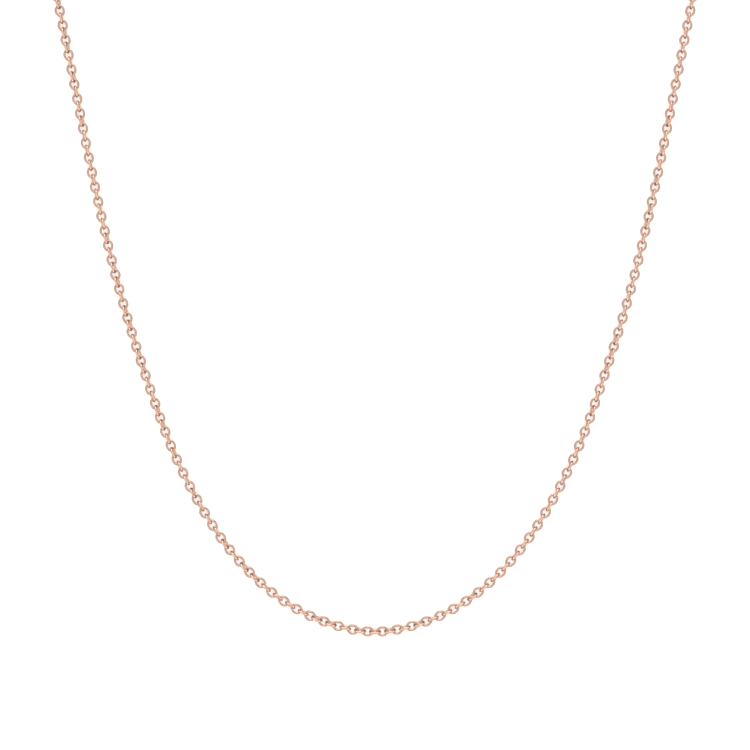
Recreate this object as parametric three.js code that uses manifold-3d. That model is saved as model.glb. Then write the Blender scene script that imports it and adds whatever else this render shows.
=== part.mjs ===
// Chain necklace: a round-wire cable chain lying flat in a loop on z = 0, with a
// lobster-claw clasp on the left strand and a plain ring on the right strand.
// Millimetres, +Z up, origin under the middle of the loop's box. The bottom of the
// loop lies on -Y, the strands run up +Y and their ends meet at the clasp.
import * as THREE from "three";
import { mergeVertices } from "three/addons/utils/BufferGeometryUtils.js";
import Module from "manifold-3d";

const wasm = await Module();
wasm.setup();

// ---------------------------------------------------------------- dimensions
const WIRE = 0.4; // link wire diameter
const LINK_LENGTH = 2.1; // link outer length
const LINK_WIDTH = 1.8; // link outer width
const PITCH = LINK_LENGTH - 2 * WIRE; // inner length: links pull tight on each other
const CHAIN_Z = LINK_WIDTH / 2; // height of the chain's centreline over the table
const JOINT_GAP = 0.06; // half of the play left between two runs

// Links per run. Link 0 is the upright link at the lowest point; it is the middle of
// the centre run. Odd links lie flat, even links stand upright.
const CENTRE_HALF = 3; // links each side of link 0 in the centre run
const RUNS = 26; // runs per strand
const RIGHT_LINKS = 169; // links in the right strand beyond the centre run
const LEFT_LINKS = 164; // links in the left strand beyond the centre run

// Heading of the strand (degrees from +X) at these distances along it from link 0.
const HEADING_AT = [0, 5, 10, 15, 20, 26, 34, 44, 56, 70, 88, 108, 130, 229.3];
const HEADING = [
  0, 13.6, 21.3, 30.7, 39.1, 47.3, 56.5, 63.2, 70.6, 72.5, 76.9, 79.0, 78.6, 180,
];

// Coarse link: an eight-sided oval whose end bars are one wire wide.
const END_OUT = 0.38; // half length of an end bar at its outer edge
const SIDE_IN = 0.3; // half length of a side bar at its inner edge
const SIDE_OUT = 0.45; // and at its outer edge
const INNER_HALF = LINK_WIDTH / 2 - WIRE;

// Jump ring between the left strand and the clasp: an upright oval.
const JUMP_LENGTH = 2.7;
const JUMP_WIDTH = 1.8;
const JUMP_WIRE = 0.45;

// End ring on the right strand: a flat round ring.
const RING_OUTER = 4.0;
const RING_WIRE = 0.6;

// Clasp.
const CLASP_THICK = 1.8;
const CLASP_EYE_OUTER = 0.95; // radius
const CLASP_EYE_HOLE = 0.5; // radius
const CLASP_EYE_THICK = 0.5;
const PIVOT = [2.95, 0.55]; // rivet centre in the clasp's own frame
const PIN_RADIUS = 0.26;
const PIN_HOLE = 0.32;
const SLOT_LOW = 0.35; // slot between the two cheeks
const SLOT_HIGH = 1.45;
const LEVER_ARM_LOW = 0.42;
const LEVER_ARM_HIGH = 1.38;
const LEVER_HUB_HIGH = 0.86;
const SPRING_LOW = 0.95;
const SPRING_HIGH = 1.39;

// ---------------------------------------------------------------- materials
const gold = new THREE.MeshStandardMaterial({
  color: 0xe6b39a,
  metalness: 1,
  roughness: 0.18,
});
const goldCast = new THREE.MeshStandardMaterial({
  color: 0xe2ac92,
  metalness: 1,
  roughness: 0.24,
});
const steel = new THREE.MeshStandardMaterial({
  color: 0xb9b7b4,
  metalness: 1,
  roughness: 0.3,
});

// ---------------------------------------------------------------- the strand's line
const radians = (d) => (d * Math.PI) / 180;

function headingAt(s) {
  let k = 1;
  while (k < HEADING_AT.length - 1 && s > HEADING_AT[k]) k++;
  const t = (s - HEADING_AT[k - 1]) / (HEADING_AT[k] - HEADING_AT[k - 1]);
  return radians(HEADING[k - 1] + t * (HEADING[k] - HEADING[k - 1]));
}

// Right-hand strand: link i spans contact i to contact i + 1, and contact 1 is the
// right end of link 0. The left-hand strand is its mirror image.
function strand(count) {
  const headings = [0];
  const contacts = [new THREE.Vector2(-PITCH / 2, 0), new THREE.Vector2(PITCH / 2, 0)];
  for (let i = 1; i <= count; i++) {
    const h = headingAt(i * PITCH);
    headings.push(h);
    const c = contacts[i];
    contacts.push(new THREE.Vector2(c.x + PITCH * Math.cos(h), c.y + PITCH * Math.sin(h)));
  }
  return { headings, contacts };
}

// Centreline of link 0 below the origin, so that the origin is the box's middle.
const CENTRE_LINE_Y = -89.066;
const rightLine = strand(CENTRE_HALF + RIGHT_LINKS);
const leftLine = strand(CENTRE_HALF + LEFT_LINKS);

// Link number n of the whole chain, counted from link 0 to the right (+) or left (-),
// as its start and end contact points in the plane and its heading.
function linkAt(n) {
  const line = n >= 0 ? rightLine : leftLine;
  const i = Math.abs(n);
  const h = line.headings[i];
  const a = line.contacts[i].clone();
  const b = line.contacts[i + 1].clone();
  if (n >= 0) return { n, a, b, heading: h };
  return {
    n,
    a: new THREE.Vector2(-b.x, b.y),
    b: new THREE.Vector2(-a.x, a.y),
    heading: -h,
  };
}

// ---------------------------------------------------------------- a run of links
// One closed body: neighbouring links share the square patch where their wires bear
// on each other. All runs are laid from left to right (rising n).
function runGeometry(first, last) {
  const positions = [];
  const index = [];
  const half = WIRE / 2;
  const add = (x, y, z) => positions.push(x, y, z) / 3 - 1;
  const quad = (a, b, c, d) => index.push(a, b, c, a, c, d);
  let shared = null; // the patch's corners at the end of the link before

  for (let n = first; n <= last; n++) {
    const { a, b, heading } = linkAt(n);
    const flat = Math.abs(n) % 2 === 1;
    const tx = Math.cos(heading), ty = Math.sin(heading);
    const mx = (a.x + b.x) / 2, my = (a.y + b.y) / 2;
    // width axis w and thickness axis t of this link, with T x w = t
    const w = flat ? [-ty, tx, 0] : [0, 0, 1];
    const t = flat ? [0, 0, 1] : [ty, -tx, 0];
    const at = (along, wide, thick) =>
      add(
        mx + tx * along + w[0] * wide + t[0] * thick,
        my + ty * along + w[1] * wide + t[1] * thick,
        CHAIN_Z + w[2] * wide + t[2] * thick,
      );
    // corner of the patch at a contact, by its sideways and upward signs
    const patch = (point, before, after, shift) => {
      const h = (before + after) / 2;
      const cx = Math.cos(h), cy = Math.sin(h);
      const corners = {};
      for (const side of [-1, 1])
        for (const up of [-1, 1])
          corners[side + "," + up] = add(
            point.x + cx * shift - cy * side * half,
            point.y + cy * shift + cx * side * half,
            CHAIN_Z + up * half,
          );
      return corners;
    };
    const start =
      shared || patch(a, linkAtOrSelf(n - 1, heading), heading, -JOINT_GAP);
    const end =
      n < last
        ? patch(b, heading, linkAt(n + 1).heading, 0)
        : patch(b, heading, linkAtOrSelf(n + 1, heading), JOINT_GAP);
    // which corner of the patch is (wide sign, thick sign) of this link
    const corner = (set, wide, thick) =>
      flat ? set[wide + "," + thick] : set[-thick + "," + wide];
    const inner = [
      [corner(end, -1, 1), corner(end, -1, -1)],
      [corner(end, 1, 1), corner(end, 1, -1)],
      [at(SIDE_IN, INNER_HALF, half), at(SIDE_IN, INNER_HALF, -half)],
      [at(-SIDE_IN, INNER_HALF, half), at(-SIDE_IN, INNER_HALF, -half)],
      [corner(start, 1, 1), corner(start, 1, -1)],
      [corner(start, -1, 1), corner(start, -1, -1)],
      [at(-SIDE_IN, -INNER_HALF, half), at(-SIDE_IN, -INNER_HALF, -half)],
      [at(SIDE_IN, -INNER_HALF, half), at(SIDE_IN, -INNER_HALF, -half)],
    ];
    const tip = PITCH / 2 + WIRE;
    const wide = LINK_WIDTH / 2;
    const outer = [
      at(tip, -END_OUT, 0),
      at(tip, END_OUT, 0),
      at(SIDE_OUT, wide, 0),
      at(-SIDE_OUT, wide, 0),
      at(-tip, END_OUT, 0),
      at(-tip, -END_OUT, 0),
      at(-SIDE_OUT, -wide, 0),
      at(SIDE_OUT, -wide, 0),
    ];
    for (let s = 0; s < 8; s++) {
      const e = (s + 1) % 8;
      quad(inner[s][0], outer[s], outer[e], inner[e][0]);
      quad(inner[s][1], inner[e][1], outer[e], outer[s]);
      const fused = (s === 0 && n < last) || (s === 4 && n > first);
      if (!fused) quad(inner[s][0], inner[e][0], inner[e][1], inner[s][1]);
    }
    shared = end;
  }
  return { positions, index };
}

function linkAtOrSelf(n, heading) {
  const inside = n >= -(CENTRE_HALF + LEFT_LINKS) && n <= CENTRE_HALF + RIGHT_LINKS;
  return inside ? linkAt(n).heading : heading;
}

// A run as a mesh whose own origin is its inboard end.
function runMesh(name, first, last) {
  const { positions, index } = runGeometry(first, last);
  const home =
    first > 0 ? linkAt(first).a : last < 0 ? linkAt(last).b : new THREE.Vector2(0, 0);
  const geometry = new THREE.BufferGeometry();
  geometry.setAttribute("position", new THREE.Float32BufferAttribute(positions, 3));
  geometry.setIndex(index);
  geometry.translate(-home.x, -home.y, -CHAIN_Z);
  geometry.computeVertexNormals();
  const mesh = new THREE.Mesh(geometry, gold);
  mesh.name = name;
  mesh.position.set(home.x, home.y, CHAIN_Z);
  return mesh;
}

// How a strand's links are shared out among its runs, the longer runs spread evenly.
function runLengths(links) {
  const lengths = [];
  for (let k = 0; k < RUNS; k++)
    lengths.push(
      Math.floor(((k + 1) * links) / RUNS) - Math.floor((k * links) / RUNS),
    );
  return lengths;
}

// ---------------------------------------------------------------- solids by boolean
function solid(geometry) {
  const bare = geometry.clone();
  for (const key of Object.keys(bare.attributes))
    if (key !== "position") bare.deleteAttribute(key);
  const merged = mergeVertices(bare, 1e-4);
  return new wasm.Manifold(
    new wasm.Mesh({
      numProp: 3,
      vertProperties: merged.attributes.position.array,
      triVerts: new Uint32Array(merged.index.array),
    }),
  );
}

function geometryOf(manifold) {
  const m = manifold.getMesh();
  const g = new THREE.BufferGeometry();
  g.setAttribute("position", new THREE.BufferAttribute(new Float32Array(m.vertProperties), 3));
  g.setIndex(new THREE.BufferAttribute(new Uint32Array(m.triVerts), 1));
  g.computeVertexNormals();
  return g;
}

const extrude = (shape, low, high, steps = 4) =>
  new THREE.ExtrudeGeometry(shape, {
    depth: high - low,
    bevelEnabled: false,
    curveSegments: steps,
  }).translate(0, 0, low);

function disc(x, y, radius, low, high, sides = 16) {
  return new THREE.CylinderGeometry(radius, radius, high - low, sides)
    .rotateX(Math.PI / 2)
    .translate(x, y, (low + high) / 2);
}

function outline(points) {
  return new THREE.Shape(points.map(([x, y]) => new THREE.Vector2(x, y)));
}

// A closed loop of round wire: an eight-sided section carried round an oval.
function wireLoop(length, width, wire, steps) {
  const positions = [];
  const index = [];
  const sides = 8;
  const a = (length - wire) / 2, b = (width - wire) / 2;
  for (let k = 0; k < steps; k++) {
    const u = (2 * Math.PI * (k + 0.5)) / steps;
    const x = a * Math.cos(u), y = b * Math.sin(u);
    const nl = Math.hypot(b * Math.cos(u), a * Math.sin(u));
    const nx = (b * Math.cos(u)) / nl, ny = (a * Math.sin(u)) / nl;
    for (let j = 0; j < sides; j++) {
      const v = (2 * Math.PI * (j + 0.5)) / sides;
      const r = (wire / 2) * Math.cos(v), z = (wire / 2) * Math.sin(v);
      positions.push(x + nx * r, y + ny * r, z);
    }
  }
  for (let k = 0; k < steps; k++)
    for (let j = 0; j < sides; j++) {
      const p = k * sides + j, q = k * sides + ((j + 1) % sides);
      const r = ((k + 1) % steps) * sides + j, s = ((k + 1) % steps) * sides + ((j + 1) % sides);
      index.push(p, r, s, p, s, q);
    }
  const g = new THREE.BufferGeometry();
  g.setAttribute("position", new THREE.Float32BufferAttribute(positions, 3));
  g.setIndex(index);
  g.computeVertexNormals();
  return g;
}

// ---------------------------------------------------------------- clasp pieces
// Clasp frame: origin at the middle of the eye, +X towards the nose, thumb tab on +Y.
const CLASP_OUTLINE = [
  [0.78, -0.5], [1.5, -0.72], [2.3, -1.2], [3.2, -1.72], [4.3, -2.12], [5.5, -2.3],
  [6.7, -2.2], [7.8, -1.75], [8.6, -0.95], [8.95, 0.05], [8.8, 1.0], [8.2, 1.72],
  [7.45, 2.0], [6.95, 1.95], [6.88, 1.25], [7.3, 1.1], [7.75, 0.65], [7.85, 0.0],
  [7.55, -0.7], [6.85, -1.15], [5.8, -1.38], [4.9, -1.25], [4.35, -0.75], [4.25, -0.1],
  [4.3, 0.55], [4.2, 1.35], [3.6, 1.72], [2.7, 1.55], [1.9, 1.05], [1.4, 0.7], [0.78, 0.5],
];
// Space between the cheeks: it is open towards the mouth and on the tab's side.
const SLOT_OUTLINE = [
  [2.05, 0.1], [2.6, -0.38], [3.4, -0.5], [4.6, -0.6], [4.9, 0.2], [4.9, 2.2],
  [3.3, 2.2], [2.2, 1.6], [2.0, 0.9],
];
// Lever: a round hub on the rivet, an arm out to the hook's tip and a thumb tab.
const LEVER_ARM = [
  [3.95, 0.35], [4.45, 0.5], [5.2, 0.98], [6.0, 1.22], [6.74, 1.24], [6.72, 1.78],
  [5.9, 1.86], [5.0, 1.82], [4.75, 2.35], [4.45, 2.62], [4.1, 2.5], [4.1, 2.0],
  [4.3, 1.62], [3.85, 1.2],
];
const LEVER_HUB = [
  [2.5, 0.25], [2.75, 0.02], [3.15, 0.02], [4.3, 0.45], [4.5, 1.55], [3.9, 1.42],
  [3.1, 1.12], [2.75, 1.05], [2.45, 0.8],
];

function claspBody() {
  const claw = solid(extrude(outline(CLASP_OUTLINE), 0, CLASP_THICK));
  const eyeLow = (CLASP_THICK - CLASP_EYE_THICK) / 2;
  const eye = solid(disc(0, 0, CLASP_EYE_OUTER, eyeLow, eyeLow + CLASP_EYE_THICK, 20));
  const neck = solid(
    extrude(
      outline([[0.3, -0.52], [1.3, -0.55], [1.3, 0.55], [0.3, 0.52]]),
      eyeLow,
      eyeLow + CLASP_EYE_THICK,
    ),
  );
  const eyeHole = solid(disc(0, 0, CLASP_EYE_HOLE, -1, CLASP_THICK + 1, 16));
  const slot = solid(extrude(outline(SLOT_OUTLINE), SLOT_LOW, SLOT_HIGH));
  const pinHole = solid(disc(PIVOT[0], PIVOT[1], PIN_HOLE, -1, CLASP_THICK + 1, 16));
  return geometryOf(claw.add(eye).add(neck).subtract(eyeHole).subtract(slot).subtract(pinHole));
}

function claspLever() {
  const arm = solid(extrude(outline(LEVER_ARM), LEVER_ARM_LOW, LEVER_ARM_HIGH));
  const hub = solid(extrude(outline(LEVER_HUB), LEVER_ARM_LOW, LEVER_HUB_HIGH));
  const hole = solid(disc(PIVOT[0], PIVOT[1], PIN_HOLE, -1, 3, 16));
  return geometryOf(arm.add(hub).subtract(hole));
}

function claspPin() {
  // a rivet: plain shank, its ends flush in the cheeks
  const shape = disc(PIVOT[0], PIVOT[1], PIN_RADIUS, 0.02, CLASP_THICK - 0.02, 16);
  return geometryOf(solid(shape));
}

function claspSpring() {
  // the coil round the rivet as a sleeve, with the leg that bears on the claw
  const coil = solid(disc(PIVOT[0], PIVOT[1], 0.56, SPRING_LOW, SPRING_HIGH, 16));
  const leg = solid(
    extrude(
      outline([[2.5, 0.1], [3.1, 0.06], [3.98, -0.25], [3.94, -0.37], [2.98, -0.02]]),
      SPRING_LOW + 0.12,
      SPRING_HIGH - 0.12,
    ),
  );
  const bore = solid(disc(PIVOT[0], PIVOT[1], 0.36, -1, 3, 16));
  return geometryOf(coil.add(leg).subtract(bore));
}

// ---------------------------------------------------------------- assembly
const necklace = new THREE.Group();
necklace.name = "chain_necklace";
necklace.position.set(0, CENTRE_LINE_Y, 0);

const two = (k) => String(k).padStart(2, "0");
necklace.add(runMesh("chain_centre", -CENTRE_HALF, CENTRE_HALF));

const rightStrand = new THREE.Group();
rightStrand.name = "right_strand";
let n = CENTRE_HALF + 1;
runLengths(RIGHT_LINKS).forEach((count, k) => {
  rightStrand.add(runMesh("chain_right_" + two(k + 1), n, n + count - 1));
  n += count;
});
necklace.add(rightStrand);

const leftStrand = new THREE.Group();
leftStrand.name = "left_strand";
n = CENTRE_HALF + 1;
runLengths(LEFT_LINKS).forEach((count, k) => {
  leftStrand.add(runMesh("chain_left_" + two(k + 1), -(n + count - 1), -n));
  n += count;
});
necklace.add(leftStrand);

// Right strand's ring: flat, through the last upright link.
const rightLast = linkAt(CENTRE_HALF + RIGHT_LINKS);
const endRing = new THREE.Mesh(wireLoop(RING_OUTER, RING_OUTER, RING_WIRE, 20), gold);
endRing.name = "end_ring";
{
  const h = rightLast.heading;
  // the ring's wire bears on the far end of the last link's opening
  const reach = RING_OUTER / 2 - JOINT_GAP;
  endRing.position.set(
    rightLast.b.x + Math.cos(h) * (reach - 0.02 - RING_WIRE),
    rightLast.b.y + Math.sin(h) * (reach - 0.02 - RING_WIRE),
    CHAIN_Z,
  );
}
rightStrand.add(endRing);

// Left strand: upright jump ring through the last flat link, then the clasp.
const leftLast = linkAt(-(CENTRE_HALF + LEFT_LINKS));
const outward = leftLast.heading + Math.PI; // direction from the strand to the clasp
const claspSide = new THREE.Group();
claspSide.name = "clasp_side";
claspSide.position.set(leftLast.a.x, leftLast.a.y, 0);
claspSide.rotation.z = outward;
leftStrand.add(claspSide);

const jumpCentre = JUMP_LENGTH / 2 - JUMP_WIRE - JOINT_GAP;
const jumpRing = new THREE.Mesh(wireLoop(JUMP_LENGTH, JUMP_WIDTH, JUMP_WIRE, 16), gold);
jumpRing.name = "clasp_jump_ring";
jumpRing.rotation.x = Math.PI / 2;
jumpRing.position.set(jumpCentre, 0, CHAIN_Z);
claspSide.add(jumpRing);

const clasp = new THREE.Group();
clasp.name = "clasp";
// the eye's rim hangs on the far bend of the jump ring
clasp.position.set(
  jumpCentre + JUMP_LENGTH / 2 - JUMP_WIRE - JOINT_GAP + CLASP_EYE_HOLE,
  0,
  0,
);
claspSide.add(clasp);
for (const [name, geometry, material] of [
  ["clasp_body", claspBody(), goldCast],
  ["clasp_lever", claspLever(), goldCast],
  ["clasp_pin", claspPin(), gold],
  ["clasp_spring", claspSpring(), steel],
]) {
  const mesh = new THREE.Mesh(geometry, material);
  mesh.name = name;
  clasp.add(mesh);
}

export default necklace;
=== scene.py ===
import math
import bpy, bmesh
import numpy as np
from mathutils import Matrix, Vector


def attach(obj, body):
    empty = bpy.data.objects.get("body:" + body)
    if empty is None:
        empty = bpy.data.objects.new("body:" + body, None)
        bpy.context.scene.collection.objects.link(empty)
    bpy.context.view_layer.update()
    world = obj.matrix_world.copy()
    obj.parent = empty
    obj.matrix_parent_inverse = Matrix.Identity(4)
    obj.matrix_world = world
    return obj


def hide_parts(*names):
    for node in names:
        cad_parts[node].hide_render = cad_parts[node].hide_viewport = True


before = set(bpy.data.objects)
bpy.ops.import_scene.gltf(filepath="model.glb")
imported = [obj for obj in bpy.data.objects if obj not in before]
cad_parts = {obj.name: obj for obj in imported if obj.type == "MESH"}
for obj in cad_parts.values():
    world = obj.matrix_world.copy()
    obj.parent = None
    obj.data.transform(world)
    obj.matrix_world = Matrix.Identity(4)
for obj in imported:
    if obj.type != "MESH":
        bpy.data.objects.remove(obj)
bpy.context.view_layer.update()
MM = 0.001

# ------------------------------------------------------------------ stage, camera, light
def make_mesh_object(name, verts, faces, smooth=True):
    me = bpy.data.meshes.new(name)
    me.from_pydata([tuple(map(float, v)) for v in verts], [], [tuple(map(int, f)) for f in faces])
    me.update()
    ob = bpy.data.objects.new(name, me)
    bpy.context.scene.collection.objects.link(ob)
    if smooth:
        me.polygons.foreach_set("use_smooth", [True] * len(me.polygons))
    return ob


scene = bpy.context.scene
scene.view_settings.view_transform = "Standard"
scene.view_settings.look = "None"
scene.view_settings.exposure = 0.0
scene.view_settings.gamma = 1.0

# The camera looks straight down with +Y up, over the lower half of the loop.
FRAME_WIDTH = 130.1 * MM            # width of the view at the chain's height
LENS = 100.0
cam_data = bpy.data.cameras.new("camera")
cam_data.type = "PERSP"
cam_data.lens = LENS
cam_data.sensor_width = 36.0
cam = bpy.data.objects.new("camera", cam_data)
scene.collection.objects.link(cam)
cam.location = (0.0, -44.55 * MM, 0.9 * MM + FRAME_WIDTH * LENS / 36.0)
cam.rotation_euler = (0.0, 0.0, 0.0)
cam_data.clip_start = 0.01
cam_data.clip_end = 20.0
scene.camera = cam


def new_material(name):
    m = bpy.data.materials.new(name)
    m.use_nodes = True
    nt = m.node_tree
    nt.nodes.clear()
    return m, nt


def node(nt, kind, **settings):
    n = nt.nodes.new(kind)
    for k, v in settings.items():
        setattr(n, k, v)
    return n


# floor: a wide pale table
R = 6.0
floor = make_mesh_object(
    "floor",
    [(R * math.cos(2 * math.pi * k / 64), R * math.sin(2 * math.pi * k / 64), 0.0) for k in range(64)],
    [list(range(64))],
    smooth=False,
)
fm, nt = new_material("table_white")
out = node(nt, "ShaderNodeOutputMaterial")
dif = node(nt, "ShaderNodeBsdfDiffuse")
dif.inputs["Color"].default_value = (0.92, 0.92, 0.92, 1)
nt.links.new(dif.outputs[0], out.inputs["Surface"])
floor.data.materials.append(fm)
floor.visible_glossy = False

# backdrop: a plain pale drum round the table, seen by the camera only
H = 5.5
ring = [(5.9 * math.cos(2 * math.pi * k / 96), 5.9 * math.sin(2 * math.pi * k / 96)) for k in range(96)]
verts = [(x, y, -1.0) for x, y in ring] + [(x, y, H) for x, y in ring]
faces = [(k, (k + 1) % 96, 96 + (k + 1) % 96, 96 + k) for k in range(96)]
drum = make_mesh_object("backdrop", verts, faces)
dm, nt = new_material("backdrop_white")
out = node(nt, "ShaderNodeOutputMaterial")
emi = node(nt, "ShaderNodeEmission")
emi.inputs["Color"].default_value = (1, 1, 1, 1)
emi.inputs["Strength"].default_value = 1.0
nt.links.new(emi.outputs[0], out.inputs["Surface"])
drum.data.materials.append(dm)
for flag in ("visible_glossy", "visible_diffuse", "visible_transmission", "visible_shadow", "visible_volume_scatter"):
    setattr(drum, flag, False)

# studio surroundings: grey overhead, a bright wall band, dark below, and three softboxes
world = bpy.data.worlds.new("studio")
scene.world = world
world.use_nodes = True
nt = world.node_tree
nt.nodes.clear()
wout = node(nt, "ShaderNodeOutputWorld")
bg = node(nt, "ShaderNodeBackground")
tc = node(nt, "ShaderNodeTexCoord")
sep = node(nt, "ShaderNodeSeparateXYZ")
mr = node(nt, "ShaderNodeMapRange")
mr.inputs["From Min"].default_value = -1.0
mr.inputs["From Max"].default_value = 1.0
ramp = node(nt, "ShaderNodeValToRGB")
ramp.color_ramp.interpolation = "LINEAR"
# (elevation in degrees, brightness); position is (sin(elevation) + 1) / 2
STUDIO = [(-90, 0.40), (-30, 0.27), (-6, 0.26), (3, 0.55), (10, 1.32), (24, 1.32), (34, 0.92), (46, 0.72), (70, 0.82), (90, 0.82)]
STUDIO_TOP = 1.6
els = ramp.color_ramp.elements
while len(els) > 1:
    els.remove(els[-1])
first = True
for deg, val in STUDIO:
    pos = (math.sin(math.radians(deg)) + 1) / 2
    e = els[0] if first else els.new(pos)
    e.position = pos
    e.color = (val / STUDIO_TOP, val / STUDIO_TOP, val / STUDIO_TOP, 1)
    first = False
nt.links.new(tc.outputs["Generated"], sep.inputs[0])
nt.links.new(sep.outputs["Z"], mr.inputs["Value"])
nt.links.new(mr.outputs["Result"], ramp.inputs["Fac"])
# softboxes: (azimuth, elevation, inner and outer half angle in degrees, brightness)
SOFTBOXES = [(90, 27, 14, 26, 1.5), (-52, 19, 12, 24, 0.8), (205, 24, 10, 22, 0.9)]
total = ramp.outputs["Color"]
for az, el, inner, outer, bright in SOFTBOXES:
    az, el = math.radians(az), math.radians(el)
    dot = node(nt, "ShaderNodeVectorMath", operation="DOT_PRODUCT")
    dot.inputs[1].default_value = (math.cos(el) * math.cos(az), math.cos(el) * math.sin(az), math.sin(el))
    nt.links.new(tc.outputs["Generated"], dot.inputs[0])
    edge = node(nt, "ShaderNodeMapRange", interpolation_type="SMOOTHSTEP")
    edge.inputs["From Min"].default_value = math.cos(math.radians(outer))
    edge.inputs["From Max"].default_value = math.cos(math.radians(inner))
    edge.inputs["To Max"].default_value = bright / STUDIO_TOP
    nt.links.new(dot.outputs["Value"], edge.inputs["Value"])
    plus = node(nt, "ShaderNodeVectorMath", operation="ADD")
    nt.links.new(total, plus.inputs[0])
    nt.links.new(edge.outputs["Result"], plus.inputs[1])
    total = plus.outputs["Vector"]
nt.links.new(total, bg.inputs["Color"])
bg.inputs["Strength"].default_value = STUDIO_TOP
nt.links.new(bg.outputs[0], wout.inputs["Surface"])

# even light on the table
sun_data = bpy.data.lights.new("table_light", "SUN")
sun_data.energy = 2.7
sun_data.color = (1.0, 0.79, 0.645)
sun_data.angle = math.radians(80)
sun = bpy.data.objects.new("table_light", sun_data)
scene.collection.objects.link(sun)
sun.location = (0, 0, 2)
sun.visible_glossy = False

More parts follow.
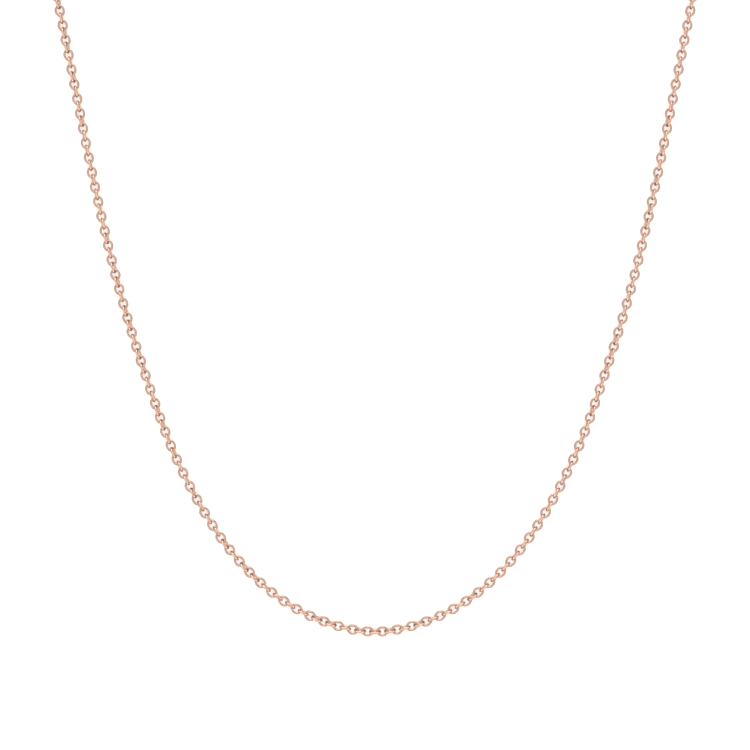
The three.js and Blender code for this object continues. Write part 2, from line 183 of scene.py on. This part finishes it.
# ------------------------------------------------------------------ materials
def rose_gold(name, base, coppery, rough_lo, rough_hi, drawn=True, crevice_shade=0.45):
    m, nt = new_material(name)
    L = nt.links.new
    out = node(nt, "ShaderNodeOutputMaterial")
    p = node(nt, "ShaderNodeBsdfPrincipled")
    p.inputs["Metallic"].default_value = 1.0
    L(p.outputs[0], out.inputs["Surface"])
    obj = node(nt, "ShaderNodeTexCoord")
    # slow colour change along the metal, a few tenths of a millimetre to a few millimetres
    n1 = node(nt, "ShaderNodeTexNoise")
    n1.inputs["Scale"].default_value = 900.0
    n1.inputs["Detail"].default_value = 3.0
    n1.inputs["Roughness"].default_value = 0.55
    L(obj.outputs["Object"], n1.inputs["Vector"])
    tone = node(nt, "ShaderNodeMix", data_type="RGBA")
    tone.inputs["A"].default_value = (*base, 1)
    tone.inputs["B"].default_value = (*coppery, 1)
    r1 = node(nt, "ShaderNodeMapRange")
    r1.inputs["From Min"].default_value = 0.35
    r1.inputs["From Max"].default_value = 0.75
    L(n1.outputs["Fac"], r1.inputs["Value"])
    # a darker, more coppery tone on the spots where pieces rub
    rub = node(nt, "ShaderNodeAttribute", attribute_name="rub")
    add = node(nt, "ShaderNodeMath", operation="MULTIPLY_ADD")
    add.inputs[1].default_value = 0.75
    L(rub.outputs["Fac"], add.inputs[0])
    mul = node(nt, "ShaderNodeMath", operation="MULTIPLY")
    mul.inputs[1].default_value = 0.45
    L(r1.outputs["Result"], mul.inputs[0])
    L(mul.outputs[0], add.inputs[2])
    clampn = node(nt, "ShaderNodeClamp")
    L(add.outputs[0], clampn.inputs["Value"])
    L(clampn.outputs[0], tone.inputs["Factor"])
    # painted shade by height: parts near the chain's middle height are painted a duller, darker tone, so the standing
    # links' high tops and low bottoms read lighter
    low = node(nt, "ShaderNodeAttribute", attribute_name="painted_shade_by_height")
    height_shade_mix = node(nt, "ShaderNodeMix", data_type="RGBA")
    height_shade_mix.inputs["B"].default_value = (0.715, 0.458, 0.366, 1)
    L(low.outputs["Fac"], height_shade_mix.inputs["Factor"])
    L(tone.outputs["Result"], height_shade_mix.inputs["A"])
    tone = height_shade_mix
    # painted shade: a deep brown painted into the crevices between neighbouring links and in corners, as far as the
    # ambient occlusion finds them
    ao = node(nt, "ShaderNodeAmbientOcclusion")
    ao.samples = 6
    ao.inputs["Distance"].default_value = 0.22 * MM
    crevice_shade_amount = node(nt, "ShaderNodeMapRange", interpolation_type="SMOOTHSTEP")
    crevice_shade_amount.inputs["From Min"].default_value = 0.85
    crevice_shade_amount.inputs["From Max"].default_value = 0.30
    crevice_shade_amount.inputs["To Max"].default_value = crevice_shade
    L(ao.outputs["AO"], crevice_shade_amount.inputs["Value"])
    crevice_shade_mix = node(nt, "ShaderNodeMix", data_type="RGBA")
    crevice_shade_mix.inputs["B"].default_value = (0.50, 0.25, 0.17, 1)
    L(crevice_shade_amount.outputs["Result"], crevice_shade_mix.inputs["Factor"])
    L(tone.outputs["Result"], crevice_shade_mix.inputs["A"])
    tone = crevice_shade_mix
    # solder seam: a paler, duller line
    seam = node(nt, "ShaderNodeAttribute", attribute_name="seam")
    pale = node(nt, "ShaderNodeMix", data_type="RGBA")
    pale.inputs["B"].default_value = (0.93, 0.74, 0.60, 1)
    sm = node(nt, "ShaderNodeMath", operation="MULTIPLY")
    sm.inputs[1].default_value = 0.35
    L(seam.outputs["Fac"], sm.inputs[0])
    L(sm.outputs[0], pale.inputs["Factor"])
    L(tone.outputs["Result"], pale.inputs["A"])
    L(pale.outputs["Result"], p.inputs["Base Color"])
    # roughness: fine handling marks, plus the seam and the rubbed spots
    n2 = node(nt, "ShaderNodeTexNoise")
    n2.inputs["Scale"].default_value = 5200.0
    n2.inputs["Detail"].default_value = 4.0
    L(obj.outputs["Object"], n2.inputs["Vector"])
    r2 = node(nt, "ShaderNodeMapRange")
    r2.inputs["From Min"].default_value = 0.3
    r2.inputs["From Max"].default_value = 0.7
    r2.inputs["To Min"].default_value = rough_lo
    r2.inputs["To Max"].default_value = rough_hi
    L(n2.outputs["Fac"], r2.inputs["Value"])
    ra = node(nt, "ShaderNodeMath", operation="MULTIPLY_ADD")
    ra.inputs[1].default_value = 0.16
    L(seam.outputs["Fac"], ra.inputs[0])
    L(r2.outputs["Result"], ra.inputs[2])
    rb = node(nt, "ShaderNodeMath", operation="MULTIPLY_ADD")
    rb.inputs[1].default_value = 0.12
    L(rub.outputs["Fac"], rb.inputs[0])
    L(ra.outputs[0], rb.inputs[2])
    L(rb.outputs[0], p.inputs["Roughness"])
    # bump: die lines along the drawn wire, or a cast and tumbled skin
    if drawn:
        uv = node(nt, "ShaderNodeUVMap", uv_map="wire")
        mp = node(nt, "ShaderNodeMapping")
        mp.inputs["Scale"].default_value = (1.2, 42.0, 1.0)
        L(uv.outputs["UV"], mp.inputs["Vector"])
        n3 = node(nt, "ShaderNodeTexNoise")
        n3.inputs["Scale"].default_value = 1.0
        n3.inputs["Detail"].default_value = 3.0
        L(mp.outputs["Vector"], n3.inputs["Vector"])
        depth = 0.0012 * MM
    else:
        n3 = node(nt, "ShaderNodeTexNoise")
        n3.inputs["Scale"].default_value = 2600.0
        n3.inputs["Detail"].default_value = 4.0
        L(obj.outputs["Object"], n3.inputs["Vector"])
        depth = 0.004 * MM
    scr = node(nt, "ShaderNodeTexVoronoi", feature="DISTANCE_TO_EDGE")
    scr.inputs["Scale"].default_value = 2400.0
    L(obj.outputs["Object"], scr.inputs["Vector"])
    sr = node(nt, "ShaderNodeMapRange")
    sr.inputs["From Max"].default_value = 0.03
    L(scr.outputs["Distance"], sr.inputs["Value"])
    b1 = node(nt, "ShaderNodeBump")
    b1.inputs["Strength"].default_value = 1.0
    b1.inputs["Distance"].default_value = depth
    L(n3.outputs["Fac"], b1.inputs["Height"])
    b2 = node(nt, "ShaderNodeBump")
    b2.inputs["Strength"].default_value = 1.0
    b2.inputs["Distance"].default_value = 0.0004 * MM
    L(sr.outputs["Result"], b2.inputs["Height"])
    L(b1.outputs["Normal"], b2.inputs["Normal"])
    L(b2.outputs["Normal"], p.inputs["Normal"])
    return m


# both metals get the same strength of painted shade in their crevices
GOLD = rose_gold("rose_gold_wire", (0.93, 0.592, 0.462), (0.85, 0.485, 0.345), 0.05, 0.14)
CAST = rose_gold("rose_gold_cast", (0.91, 0.582, 0.455), (0.85, 0.485, 0.345), 0.08, 0.18, drawn=False, crevice_shade=0.45)


def steel(name):
    m, nt = new_material(name)
    L = nt.links.new
    out = node(nt, "ShaderNodeOutputMaterial")
    p = node(nt, "ShaderNodeBsdfPrincipled")
    p.inputs["Metallic"].default_value = 1.0
    L(p.outputs[0], out.inputs["Surface"])
    uv = node(nt, "ShaderNodeUVMap", uv_map="wire")
    mp = node(nt, "ShaderNodeMapping")
    mp.inputs["Scale"].default_value = (0.8, 60.0, 1.0)
    L(uv.outputs["UV"], mp.inputs["Vector"])
    n = node(nt, "ShaderNodeTexNoise")
    n.inputs["Scale"].default_value = 1.0
    n.inputs["Detail"].default_value = 3.0
    L(mp.outputs["Vector"], n.inputs["Vector"])
    c = node(nt, "ShaderNodeMix", data_type="RGBA")
    c.inputs["A"].default_value = (0.56, 0.55, 0.54, 1)
    c.inputs["B"].default_value = (0.44, 0.41, 0.38, 1)
    L(n.outputs["Fac"], c.inputs["Factor"])
    L(c.outputs["Result"], p.inputs["Base Color"])
    r = node(nt, "ShaderNodeMapRange")
    r.inputs["To Min"].default_value = 0.2
    r.inputs["To Max"].default_value = 0.38
    L(n.outputs["Fac"], r.inputs["Value"])
    L(r.outputs["Result"], p.inputs["Roughness"])
    b = node(nt, "ShaderNodeBump")
    b.inputs["Distance"].default_value = 0.001 * MM
    L(n.outputs["Fac"], b.inputs["Height"])
    L(b.outputs["Normal"], p.inputs["Normal"])
    return m


STEEL = steel("spring_steel")

# ------------------------------------------------------------------ the strand's line, as in the CAD
WIRE, LINK_L, LINK_W = 0.4, 2.1, 1.8
PITCH = LINK_L - 2 * WIRE
CHAIN_Z = LINK_W / 2
GAP = 0.06
CENTRE_HALF, RUNS, RIGHT_LINKS, LEFT_LINKS = 3, 26, 169, 164
HEADING_AT = [0, 5, 10, 15, 20, 26, 34, 44, 56, 70, 88, 108, 130, 229.3]
HEADING = [0, 13.6, 21.3, 30.7, 39.1, 47.3, 56.5, 63.2, 70.6, 72.5, 76.9, 79.0, 78.6, 180]
LINE_Y = -89.066


def strand(count):
    hs, cs = [0.0], [np.array([-PITCH / 2, 0.0]), np.array([PITCH / 2, 0.0])]
    for i in range(1, count + 1):
        h = math.radians(float(np.interp(i * PITCH, HEADING_AT, HEADING)))
        hs.append(h)
        cs.append(cs[i] + PITCH * np.array([math.cos(h), math.sin(h)]))
    return hs, cs


RIGHT = strand(CENTRE_HALF + RIGHT_LINKS)
LEFT = strand(CENTRE_HALF + LEFT_LINKS)


def link_at(n):
    hs, cs = RIGHT if n >= 0 else LEFT
    i = abs(n)
    a, b, h = cs[i], cs[i + 1], hs[i]
    if n < 0:
        a, b, h = np.array([-b[0], b[1]]), np.array([-a[0], a[1]]), -h
    return a + [0, LINE_Y], b + [0, LINE_Y], h


def run_lengths(links):
    return [((k + 1) * links) // RUNS - (k * links) // RUNS for k in range(RUNS)]


# ------------------------------------------------------------------ wire pieces
def rnd(*key):
    """A repeatable number from 0 to 1 for these integers."""
    x = 0.0
    for i, k in enumerate(key):
        x += (k + 1.37) * (12.9898, 78.233, 37.719, 11.137)[i]
    x = math.sin(x) * 43758.5453
    return x - math.floor(x)


def closed_loop(half_l, half_w, wire, steps, sides, seam_at, seam_swell=0.035, power=2.0):
    """A closed loop of round wire in the XY plane: vertices, quads, wire UVs in mm, and how near the seam and the two ends each vertex is."""
    r = wire / 2
    a, b = half_l - r, half_w - r
    # even steps along the line
    u = np.linspace(0, 2 * math.pi, 721)[:-1]

    def line(u):
        c, s = np.cos(u), np.sin(u)
        e = 2.0 / power
        return np.stack([a * np.sign(c) * np.abs(c) ** e, b * np.sign(s) * np.abs(s) ** e], 1)

    p = line(u)
    seg = np.linalg.norm(np.roll(p, -1, 0) - p, axis=1)
    s = np.concatenate([[0], np.cumsum(seg)])
    total = s[-1]
    want = (np.arange(steps) + 0.5) / steps * total
    closed = np.vstack([p, p[:1]])
    c = np.stack([np.interp(want, s, closed[:, k]) for k in (0, 1)], 1)
    t = np.roll(c, -1, 0) - np.roll(c, 1, 0)
    t /= np.linalg.norm(t, axis=1)[:, None]
    nrm = np.stack([t[:, 1], -t[:, 0]], 1)
    angle = np.arctan2(c[:, 1] / b, c[:, 0] / a)
    d = (angle - seam_at + math.pi) % (2 * math.pi) - math.pi
    seam = np.exp(-((d * 0.8 / 0.045) ** 2))
    ends = np.exp(-((np.abs(c[:, 0]) - a) / 0.16) ** 2)
    verts, seams, rubs = [], [], []
    for j in range(sides):
        v = 2 * math.pi * j / sides
        rr = r * (1 + seam_swell * seam)
        # inner side of each end is where the next link bears
        verts.append(np.stack([c[:, 0] + nrm[:, 0] * rr * math.cos(v), c[:, 1] + nrm[:, 1] * rr * math.cos(v), rr * math.sin(v)], 1))
        seams.append(seam)
        rubs.append(ends * max(0.0, -math.cos(v)) ** 2)
    V = np.stack(verts, 1).reshape(-1, 3)
    S = np.stack(seams, 1).reshape(-1)
    B = np.stack(rubs, 1).reshape(-1)
    faces, uvs = [], []
    for k in range(steps):
        k2 = (k + 1) % steps
        for j in range(sides):
            j2 = (j + 1) % sides
            faces.append((k * sides + j, k2 * sides + j, k2 * sides + j2, k * sides + j2))
            u0, u1 = total * k / steps, total * (k + 1) / steps
            w0, w1 = 2 * math.pi * r * j / sides, 2 * math.pi * r * (j + 1) / sides
            uvs.append(((u0, w0), (u1, w0), (u1, w1), (u0, w1)))
    return V, np.array(faces), np.array(uvs), S, B


def add_piece(name, V, F, UV, attrs, material, body, nodes):
    """V in mm in the row frame."""
    ob = make_mesh_object(name, np.asarray(V) * MM, F)
    me = ob.data
    if UV is not None:
        layer = me.uv_layers.new(name="wire")
        layer.data.foreach_set("uv", np.asarray(UV, np.float32).reshape(-1))
    for key, vals in attrs.items():
        at = me.attributes.new(key, "FLOAT", "POINT")
        at.data.foreach_set("value", np.asarray(vals, np.float32))
    me.materials.append(material)
    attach(ob, body)
    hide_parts(*nodes)
    return ob


STEPS, SIDES = 56, 18
WIRE_SHOWN = WIRE - 0.008      # the thousandths that keep neighbouring links from touching


def run_piece(name, first, last, body):
    Vs, Fs, UVs, Ss, Bs, Ps = [], [], [], [], [], []
    count = 0
    for n in range(first, last + 1):
        a, b, h = link_at(n)
        flat = abs(n) % 2 == 1
        side = math.pi / 2 if rnd(n, 1) < 0.5 else -math.pi / 2
        V, F, UV, S, B = closed_loop(
            LINK_L / 2 - 0.002, LINK_W / 2 - 0.002, WIRE_SHOWN, STEPS, SIDES, side + 0.25 * (rnd(n, 2) - 0.5)
        )
        # a link hangs on its contact points, and may roll a little about the line through them
        end = n in (first, last)
        if end:
            roll = 0.0
        elif flat:
            roll = math.radians(1.5) * (2 * rnd(n, 3) - 1)
        else:
            roll = math.radians(11.0 + 5.5 * rnd(n, 3)) * (1 if rnd(n, 6) < 0.5 else -1)
        T = np.array([math.cos(h), math.sin(h), 0.0])
        S2 = np.array([-math.sin(h), math.cos(h), 0.0])
        Z = np.array([0, 0, 1.0])
        W, N = (S2, Z) if flat else (Z, -S2)
        W2 = W * math.cos(roll) + N * math.sin(roll)
        N2 = np.cross(T, W2)
        centre = np.array([(a[0] + b[0]) / 2, (a[1] + b[1]) / 2, CHAIN_Z])
        P = centre + V[:, :1] * T + V[:, 1:2] * W2 + V[:, 2:3] * N2
        UV = UV + np.array([7.3 * rnd(n, 4), 3.1 * rnd(n, 5)])
        Vs.append(P)
        Fs.append(F + count)
        UVs.append(UV)
        Ss.append(S)
        Bs.append(B)
        # painted shade by height: 1 within 0.3 mm of the chain's middle height, easing to 0 by 0.6 mm, which leaves the
        # flat links darker than the standing links' tops
        proud = np.clip((np.abs(P[:, 2] - CHAIN_Z) - 0.3) / 0.3, 0, 1)
        Ps.append(1 - proud * proud * (3 - 2 * proud))
        count += len(V)
    return add_piece(
        name, np.vstack(Vs), np.vstack(Fs), np.vstack(UVs),
        {"seam": np.concatenate(Ss), "rub": np.concatenate(Bs), "painted_shade_by_height": np.concatenate(Ps)},
        GOLD, body, [body],
    )


run_piece("links_centre", -CENTRE_HALF, CENTRE_HALF, "chain_centre")
n = CENTRE_HALF + 1
for k, m in enumerate(run_lengths(RIGHT_LINKS)):
    run_piece(f"links_right_{k + 1:02d}", n, n + m - 1, f"chain_right_{k + 1:02d}")
    n += m
n = CENTRE_HALF + 1
for k, m in enumerate(run_lengths(LEFT_LINKS)):
    run_piece(f"links_left_{k + 1:02d}", -(n + m - 1), -n, f"chain_left_{k + 1:02d}")
    n += m

# ------------------------------------------------------------------ rings at the two ends
def placed(P, origin, heading):
    """Points of a flat frame that is turned by heading and set at origin, in the row frame."""
    c, s = math.cos(heading), math.sin(heading)
    P = np.asarray(P, float)
    return np.stack([origin[0] + c * P[:, 0] - s * P[:, 1], origin[1] + s * P[:, 0] + c * P[:, 1], P[:, 2]], 1)


RING_OUTER, RING_WIRE = 4.0, 0.6
last = link_at(CENTRE_HALF + RIGHT_LINKS)
reach = RING_OUTER / 2 - GAP - 0.02 - RING_WIRE
ring_centre = last[1] + reach * np.array([math.cos(last[2]), math.sin(last[2])])
V, F, UV, S, B = closed_loop(RING_OUTER / 2 - 0.002, RING_OUTER / 2 - 0.002, RING_WIRE - 0.004, 112, 28, 2.2, seam_swell=0.02)
V = placed(V + [0, 0, CHAIN_Z], ring_centre, last[2])
add_piece("ring_end", V, F, UV, {"seam": S * 0.8, "rub": B * 0.6}, GOLD, "end_ring", ["end_ring"])

JUMP_L, JUMP_W, JUMP_WIRE = 2.7, 1.8, 0.45
left_last = link_at(-(CENTRE_HALF + LEFT_LINKS))
SIDE_AT, SIDE_TURN = left_last[0], left_last[2] + math.pi
jump_x = JUMP_L / 2 - JUMP_WIRE - GAP
V, F, UV, S, B = closed_loop(JUMP_L / 2 - 0.002, JUMP_W / 2 - 0.002, JUMP_WIRE - 0.004, 84, 24, math.pi / 2 - 0.3, seam_swell=0.03)
V = np.stack([V[:, 0] + jump_x, -V[:, 2], V[:, 1] + CHAIN_Z], 1)
add_piece(
    "ring_clasp_jump", placed(V, SIDE_AT, SIDE_TURN), F, UV, {"seam": S, "rub": B},
    GOLD, "clasp_jump_ring", ["clasp_jump_ring"],
)

# ------------------------------------------------------------------ clasp, shaped as distance fields in its own frame
EYE_X = jump_x + JUMP_L / 2 - JUMP_WIRE - GAP + 0.5
CLASP_AT = SIDE_AT + EYE_X * np.array([math.cos(SIDE_TURN), math.sin(SIDE_TURN)])
PIVOT = (2.95, 0.55)
CLASP_OUTLINE = [
    (0.78, -0.5), (1.5, -0.72), (2.3, -1.2), (3.2, -1.72), (4.3, -2.12), (5.5, -2.3),
    (6.7, -2.2), (7.8, -1.75), (8.6, -0.95), (8.95, 0.05), (8.8, 1.0), (8.2, 1.72),
    (7.45, 2.0), (6.95, 1.95), (6.88, 1.25), (7.3, 1.1), (7.75, 0.65), (7.85, 0.0),
    (7.55, -0.7), (6.85, -1.15), (5.8, -1.38), (4.9, -1.25), (4.35, -0.75), (4.25, -0.1),
    (4.3, 0.55), (4.2, 1.35), (3.6, 1.72), (2.7, 1.55), (1.9, 1.05), (1.4, 0.7), (0.78, 0.5),
]
SLOT_OUTLINE = [
    (2.05, 0.1), (2.6, -0.38), (3.4, -0.5), (4.6, -0.6), (4.9, 0.2), (4.9, 2.2),
    (3.3, 2.2), (2.2, 1.6), (2.0, 0.9),
]
LEVER_ARM = [
    (3.95, 0.35), (4.45, 0.5), (5.2, 0.98), (6.0, 1.22), (6.74, 1.24), (6.72, 1.78),
    (5.9, 1.86), (5.0, 1.82), (4.75, 2.35), (4.45, 2.62), (4.1, 2.5), (4.1, 2.0),
    (4.3, 1.62), (3.85, 1.2),
]
LEVER_HUB = [
    (2.5, 0.25), (2.75, 0.02), (3.15, 0.02), (4.3, 0.45), (4.5, 1.55), (3.9, 1.42),
    (3.1, 1.12), (2.75, 1.05), (2.45, 0.8),
]


def softened(points, rounds=2):
    """The outline with its corners cut back to a smooth line."""
    p = np.array(points, float)
    for _ in range(rounds):
        q = np.roll(p, -1, 0)
        p = np.stack([0.78 * p + 0.22 * q, 0.22 * p + 0.78 * q], 1).reshape(-1, 2)
    return p


class Field:
    """A box of grid points with signed distances on it."""

    def __init__(self, lo, hi, step):
        self.lo, self.step = np.array(lo, float), step
        self.axes = [np.arange(lo[k], hi[k] + step, step) for k in range(3)]
        self.X, self.Y = np.meshgrid(self.axes[0], self.axes[1], indexing="ij")
        self.z = self.axes[2][None, None, :]

    def outline(self, poly):
        best = np.full(self.X.shape, 1e9)
        inside = np.zeros(self.X.shape, bool)
        for (ax, ay), (bx, by) in zip(poly, np.roll(poly, -1, 0)):
            ex, ey = bx - ax, by - ay
            t = np.clip(((self.X - ax) * ex + (self.Y - ay) * ey) / (ex * ex + ey * ey), 0, 1)
            best = np.minimum(best, (self.X - ax - t * ex) ** 2 + (self.Y - ay - t * ey) ** 2)
            if abs(ey) > 1e-12:
                crosses = (ay > self.Y) != (by > self.Y)
                inside ^= crosses & (self.X < ax + (self.Y - ay) * ex / ey)
        return np.where(inside, -1, 1) * np.sqrt(best)

    def disc(self, x, y, radius):
        return np.hypot(self.X - x, self.Y - y) - radius

    def plate(self, d, low, high, edge):
        """The outline d raised from low to high, its edges rounded off."""
        wx = d[:, :, None] + edge
        wz = np.abs(self.z - (low + high) / 2) - (high - low) / 2 + edge
        return np.hypot(np.maximum(wx, 0), np.maximum(wz, 0)) + np.minimum(np.maximum(wx, wz), 0) - edge


def joined(a, b, k):
    h = np.clip(0.5 + 0.5 * (b - a) / k, 0, 1)
    return b * (1 - h) + a * h - k * h * (1 - h)


def cut(a, b, k):
    return -joined(-a, b, k)


def skin(field, f):
    """Vertices and quads of the surface where f changes sign, facing out."""
    nx, ny, nz = f.shape
    f = np.where(np.abs(f) < 1e-6, 1e-6, f)
    ins = f < 0
    acc = np.zeros((nx - 1, ny - 1, nz - 1, 3))
    num = np.zeros((nx - 1, ny - 1, nz - 1))

    def corner(a, i, j, k):
        return a[i:nx - 1 + i, j:ny - 1 + j, k:nz - 1 + k]

    for axis in range(3):
        for u in (0, 1):
            for v in (0, 1):
                o = [u, v]
                o.insert(axis, 0)
                e = list(o)
                e[axis] = 1
                fa, fb = corner(f, *o), corner(f, *e)
                crosses = (fa < 0) != (fb < 0)
                t = np.where(crosses, fa / np.where(crosses, fa - fb, 1), 0)
                for k in range(3):
                    acc[..., k] += np.where(crosses, t if k == axis else o[k], 0)
                num += crosses
    mixed = num > 0
    index = np.full(mixed.shape, -1, np.int64)
    index[mixed] = np.arange(mixed.sum())
    cells = np.argwhere(mixed)
    V = field.lo + (cells + acc[mixed] / num[mixed][:, None]) * field.step
    faces = []
    for axis in range(3):
        a = [slice(None)] * 3
        b = [slice(None)] * 3
        a[axis], b[axis] = slice(0, -1), slice(1, None)
        ia, ib = ins[tuple(a)], ins[tuple(b)]
        for rising in (True, False):
            at = np.argwhere(ia & ~ib if rising else ~ia & ib)
            p, q = (axis + 1) % 3, (axis + 2) % 3
            at = at[(at[:, p] > 0) & (at[:, q] > 0)]
            quad = []
            for dp, dq in ((-1, -1), (0, -1), (0, 0), (-1, 0)):
                c = at.copy()
                c[:, p] += dp
                c[:, q] += dq
                quad.append(index[c[:, 0], c[:, 1], c[:, 2]])
            if not rising:
                quad = quad[::-1]
            faces.append(np.stack(quad, 1))
    return V, np.vstack(faces)


def relaxed(V, F, rounds, share=0.5):
    """Vertices drawn towards the middle of their neighbours, then back out by as much, which evens the quads and keeps the volume."""
    edges = np.vstack([F[:, [0, 1]], F[:, [1, 2]], F[:, [2, 3]], F[:, [3, 0]]])
    count = np.bincount(edges[:, 0], minlength=len(V)) + np.bincount(edges[:, 1], minlength=len(V))
    for r in range(rounds):
        for w in (share, -share * 1.04):
            total = np.zeros_like(V)
            np.add.at(total, edges[:, 0], V[edges[:, 1]])
            np.add.at(total, edges[:, 1], V[edges[:, 0]])
            V = V + w * (total / count[:, None] - V)
    return V


def near(V, x, y, radius):
    return np.exp(-((np.hypot(V[:, 0] - x, V[:, 1] - y) / radius) ** 2))


THICK = 1.8
# body: a curved claw with a flat eye, hollowed between two cheeks
g = Field((-1.1, -2.45, -0.1), (9.1, 2.2, 1.9), 0.045)
claw = g.plate(g.outline(softened(CLASP_OUTLINE)), 0.0, THICK, 0.44)
low, high = 0.9 - 0.248, 0.9 + 0.248
eye = g.plate(g.disc(0, 0, 0.945), low, high, 0.22)
neck = g.plate(g.outline(np.array([(0.3, -0.5), (1.35, -0.55), (1.35, 0.55), (0.3, 0.5)])), low, high, 0.2)
f = joined(joined(eye, neck, 0.08), claw, 0.22)
f = cut(f, np.broadcast_to(g.disc(0, 0, 0.525)[:, :, None], f.shape), 0.15)
f = cut(f, g.plate(g.outline(softened(SLOT_OUTLINE, 1)), 0.35, 1.45, 0.05), 0.10)
f = cut(f, np.broadcast_to(g.disc(*PIVOT, 0.285)[:, :, None], f.shape), 0.07)
V, F = skin(g, f)
V = relaxed(V, F, 3)
rub = np.clip(near(V, 0.42, 0.0, 0.22) + 0.8 * near(V, 6.95, 1.55, 0.3), 0, 1)
add_piece(
    "clasp_claw", placed(V, CLASP_AT, SIDE_TURN), F, None, {"seam": np.zeros(len(V)), "rub": rub},
    CAST, "clasp", ["clasp_body"],
)

# lever: a hub between the cheeks, an arm that meets the hook's tip, and a thumb tab
g = Field((2.3, -0.15, 0.3), (6.95, 2.8, 1.5), 0.035)
arm = g.plate(g.outline(softened(LEVER_ARM)), 0.425, 1.375, 0.2)
hub = g.plate(g.outline(softened(LEVER_HUB)), 0.425, 0.855, 0.08)
f = joined(hub, arm, 0.06)
f = cut(f, np.broadcast_to(g.disc(*PIVOT, 0.31)[:, :, None], f.shape), 0.05)
V, F = skin(g, f)
V = relaxed(V, F, 3)
rub = np.clip(near(V, 6.75, 1.5, 0.3) + 0.5 * near(V, 4.45, 2.45, 0.3), 0, 1)
add_piece(
    "clasp_thumb_lever", placed(V, CLASP_AT, SIDE_TURN), F, None, {"seam": np.zeros(len(V)), "rub": rub},
    CAST, "clasp_lever", ["clasp_lever"],
)


def turned(profile, sides):
    """A lathe shape round the pivot from (radius, z) points, closed at both ends."""
    pts = []
    for r, z in profile:
        for j in range(sides):
            v = 2 * math.pi * j / sides
            pts.append((PIVOT[0] + r * math.cos(v), PIVOT[1] + r * math.sin(v), z))
    faces = []
    for k in range(len(profile) - 1):
        for j in range(sides):
            j2 = (j + 1) % sides
            faces.append((k * sides + j, k * sides + j2, (k + 1) * sides + j2, (k + 1) * sides + j))
    faces.append(tuple(range(sides))[::-1])
    faces.append(tuple((len(profile) - 1) * sides + j for j in range(sides)))
    return np.array(pts), faces


# rivet: its two ends peened into low domes in the cheeks
end = [(0.05, 0.0), (0.11, 0.006), (0.16, 0.022), (0.205, 0.05), (0.237, 0.085), (0.25, 0.12), (0.252, 0.16)]
profile = [(r, z + 0.005) for r, z in end] + [(0.252, 0.5), (0.252, 0.9), (0.252, 1.3)] + [(r, THICK - 0.005 - z) for r, z in end[::-1]]
V, F = turned(profile, 40)
add_piece(
    "clasp_rivet", placed(V, CLASP_AT, SIDE_TURN), F, None,
    {"seam": np.zeros(len(V)), "rub": np.clip(1 - np.abs(V[:, 2] - 0.9) / 0.9, 0, 1) * 0.2},
    CAST, "clasp", ["clasp_pin"],
)


def tube(path, radius, sides):
    """Round wire along an open path, with domed ends."""
    P = np.array(path, float)
    T = np.gradient(P, axis=0)
    T /= np.linalg.norm(T, axis=1)[:, None]
    up = np.array([0, 0, 1.0])
    N = np.cross(T, up)
    N /= np.linalg.norm(N, axis=1)[:, None]
    M = np.cross(N, T)
    rings, along = [], []
    s = np.concatenate([[0], np.cumsum(np.linalg.norm(np.diff(P, axis=0), axis=1))])
    caps = [(-0.95, 0.3), (-0.7, 0.72), (-0.35, 0.94)]
    order = [(0, c, k) for c, k in caps] + [(i, 0, 1.0) for i in range(len(P))] + [(len(P) - 1, -c, k) for c, k in caps[::-1]]
    for i, shift, k in order:
        c = P[i] + T[i] * shift * radius
        rings.append(c)
        along.append((s[i] + shift * radius, k, i))
    verts = []
    for c, (_, k, i) in zip(rings, along):
        for j in range(sides):
            v = 2 * math.pi * j / sides
            verts.append(c + radius * k * (N[i] * math.cos(v) + M[i] * math.sin(v)))
    faces, uvs = [], []
    for k in range(len(rings) - 1):
        for j in range(sides):
            j2 = (j + 1) % sides
            faces.append((k * sides + j, k * sides + j2, (k + 1) * sides + j2, (k + 1) * sides + j))
            w0, w1 = 2 * math.pi * radius * j / sides, 2 * math.pi * radius * (j + 1) / sides
            a0, a1 = along[k][0], along[k + 1][0]
            uvs.append(((a0, w0), (a0, w1), (a1, w1), (a1, w0)))
    first_cap = tuple(range(sides))[::-1]
    last_cap = tuple((len(rings) - 1) * sides + j for j in range(sides))
    faces += [first_cap, last_cap]
    for cap in (first_cap, last_cap):
        uvs.append(tuple((along[0][0], 0.01 * j) for j in range(len(cap))))
    return np.array(verts), faces, [p for face in uvs for p in face]


# torsion spring: a close coil round the rivet, one leg braced on the claw's floor
SPRING_WIRE, SPRING_R = 0.098, 0.45
turns = 3.62
path = []
# the coil starts under the hub and ends at the leg, which leaves on a tangent
leg_end = np.array([3.90, -0.27])
away = leg_end - np.array(PIVOT)
dist = float(np.hypot(*away))
tangent_at = math.atan2(away[1], away[0]) - math.acos(SPRING_R / dist)
for k in range(int(turns * 40) + 1):
    w = k / 40
    v = tangent_at - 2 * math.pi * (turns - w)
    path.append((PIVOT[0] + SPRING_R * math.cos(v), PIVOT[1] + SPRING_R * math.sin(v), 1.005 + 0.100 * w * 0.9))
top = path[-1]
for k in range(1, 15):
    t = k / 14
    path.append((top[0] + t * (leg_end[0] - top[0]), top[1] + t * (leg_end[1] - top[1]), top[2] - 0.10 * t * t))
V, F, UV = tube(path, SPRING_WIRE / 2, 12)
add_piece(
    "clasp_torsion_spring", placed(V, CLASP_AT, SIDE_TURN), F, UV, {},
    STEEL, "clasp", ["clasp_spring"],
)
